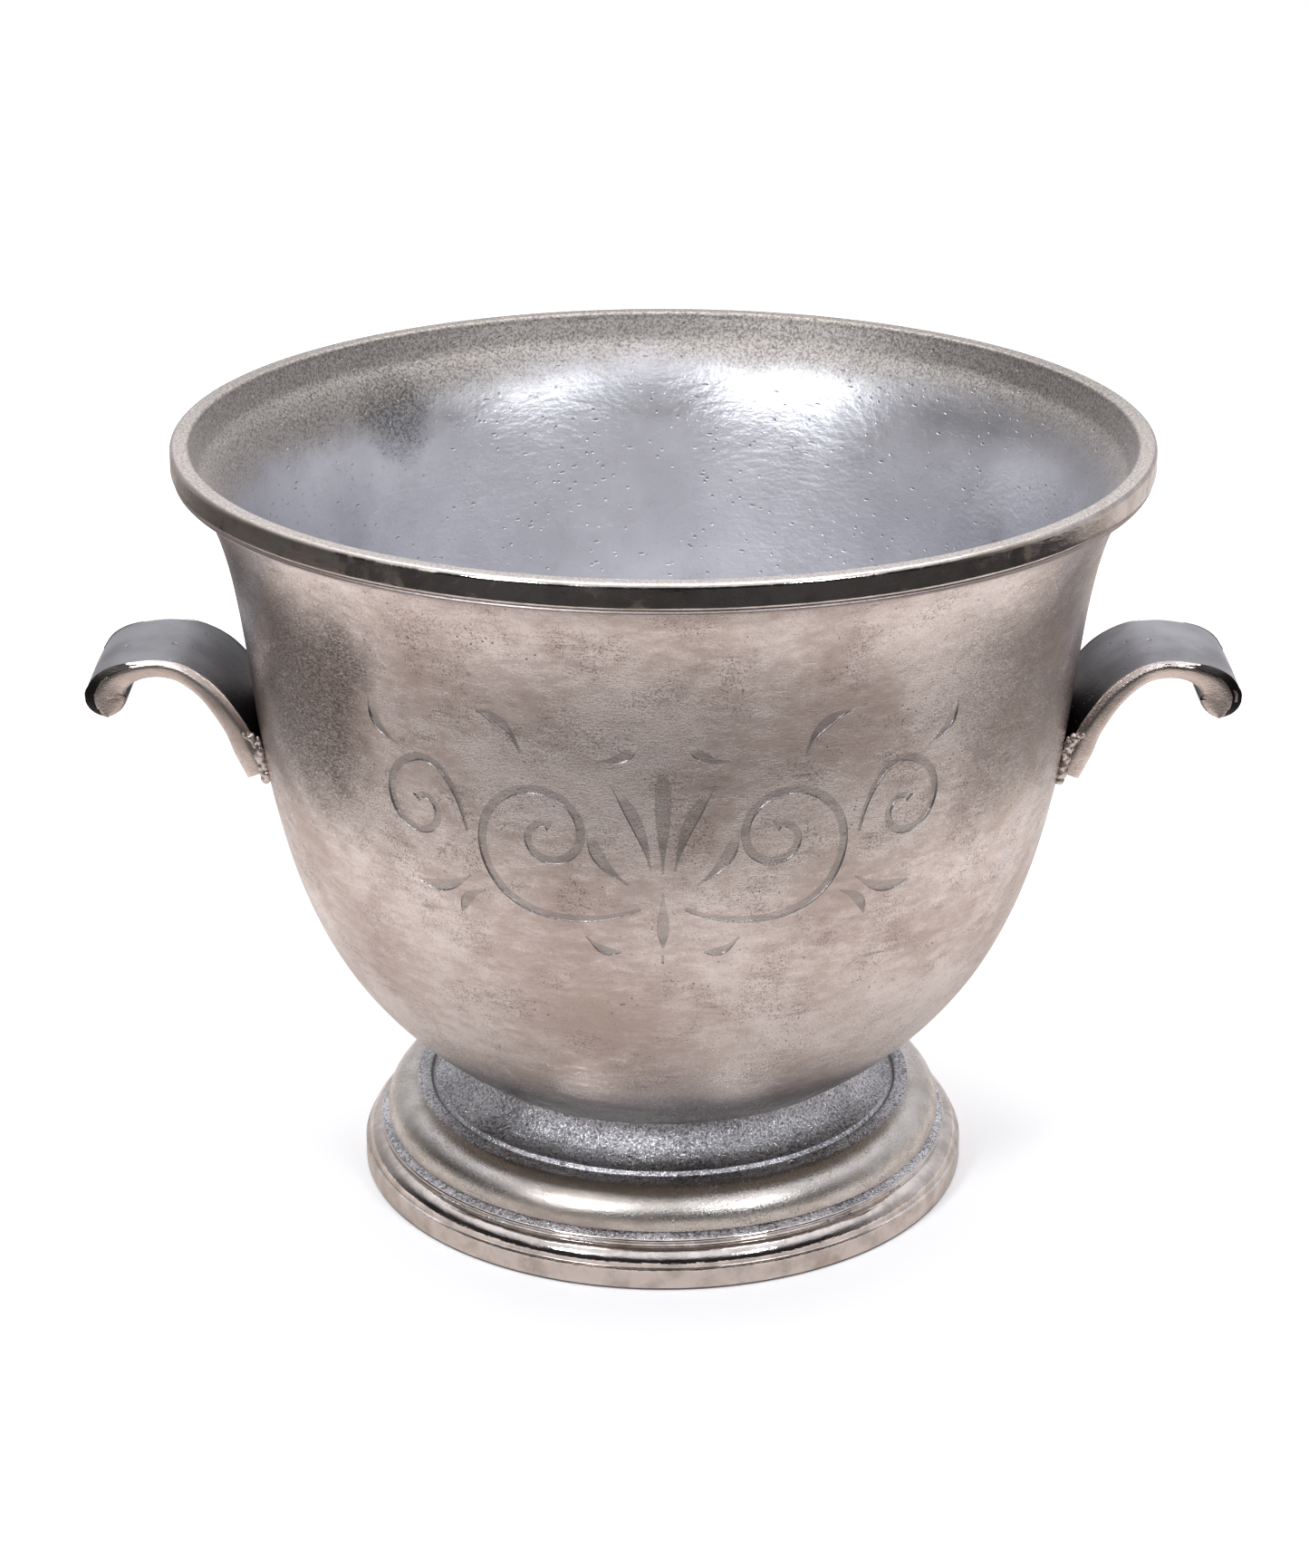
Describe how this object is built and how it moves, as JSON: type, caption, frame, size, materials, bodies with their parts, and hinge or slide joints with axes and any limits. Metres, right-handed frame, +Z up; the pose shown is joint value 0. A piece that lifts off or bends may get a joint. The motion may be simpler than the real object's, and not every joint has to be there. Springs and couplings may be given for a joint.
{
  "type": "footed champagne bucket",
  "caption": "Round footed champagne bucket in cast metal, with a thick polished rim, an open bowl and a scroll strap handle on each side.",
  "frame": {"origin": "on the table, under the middle of the bucket", "axes": "+Z up along the bowl's axis, X from handle to handle, -Y towards the engraved front"},
  "size_m": [0.394, 0.3298, 0.2695],
  "materials": {
    "bowl_metal": "nickel-plated casting, satin and lightly stained outside, raw inside, polished rim",
    "foot_metal": "nickel-plated casting, polished mouldings and a raw cove",
    "handle_metal": "nickel-plated casting, satin with polished edges",
    "weld_metal": "plated weld bead, lumpy and pitted",
    "fastener_steel": "zinc-plated steel",
    "spring_steel": "darker plated spring steel"
  },
  "bodies": {
    "root": {"bowl": "bowl_metal", "foot": "foot_metal", "left_handle": "handle_metal", "right_handle": "handle_metal", "left_handle_weld": "weld_metal", "right_handle_weld": "weld_metal", "foot_bolt": "fastener_steel", "foot_washer": "fastener_steel", "foot_lock_washer": "spring_steel"}
  },
  "joints": []
}
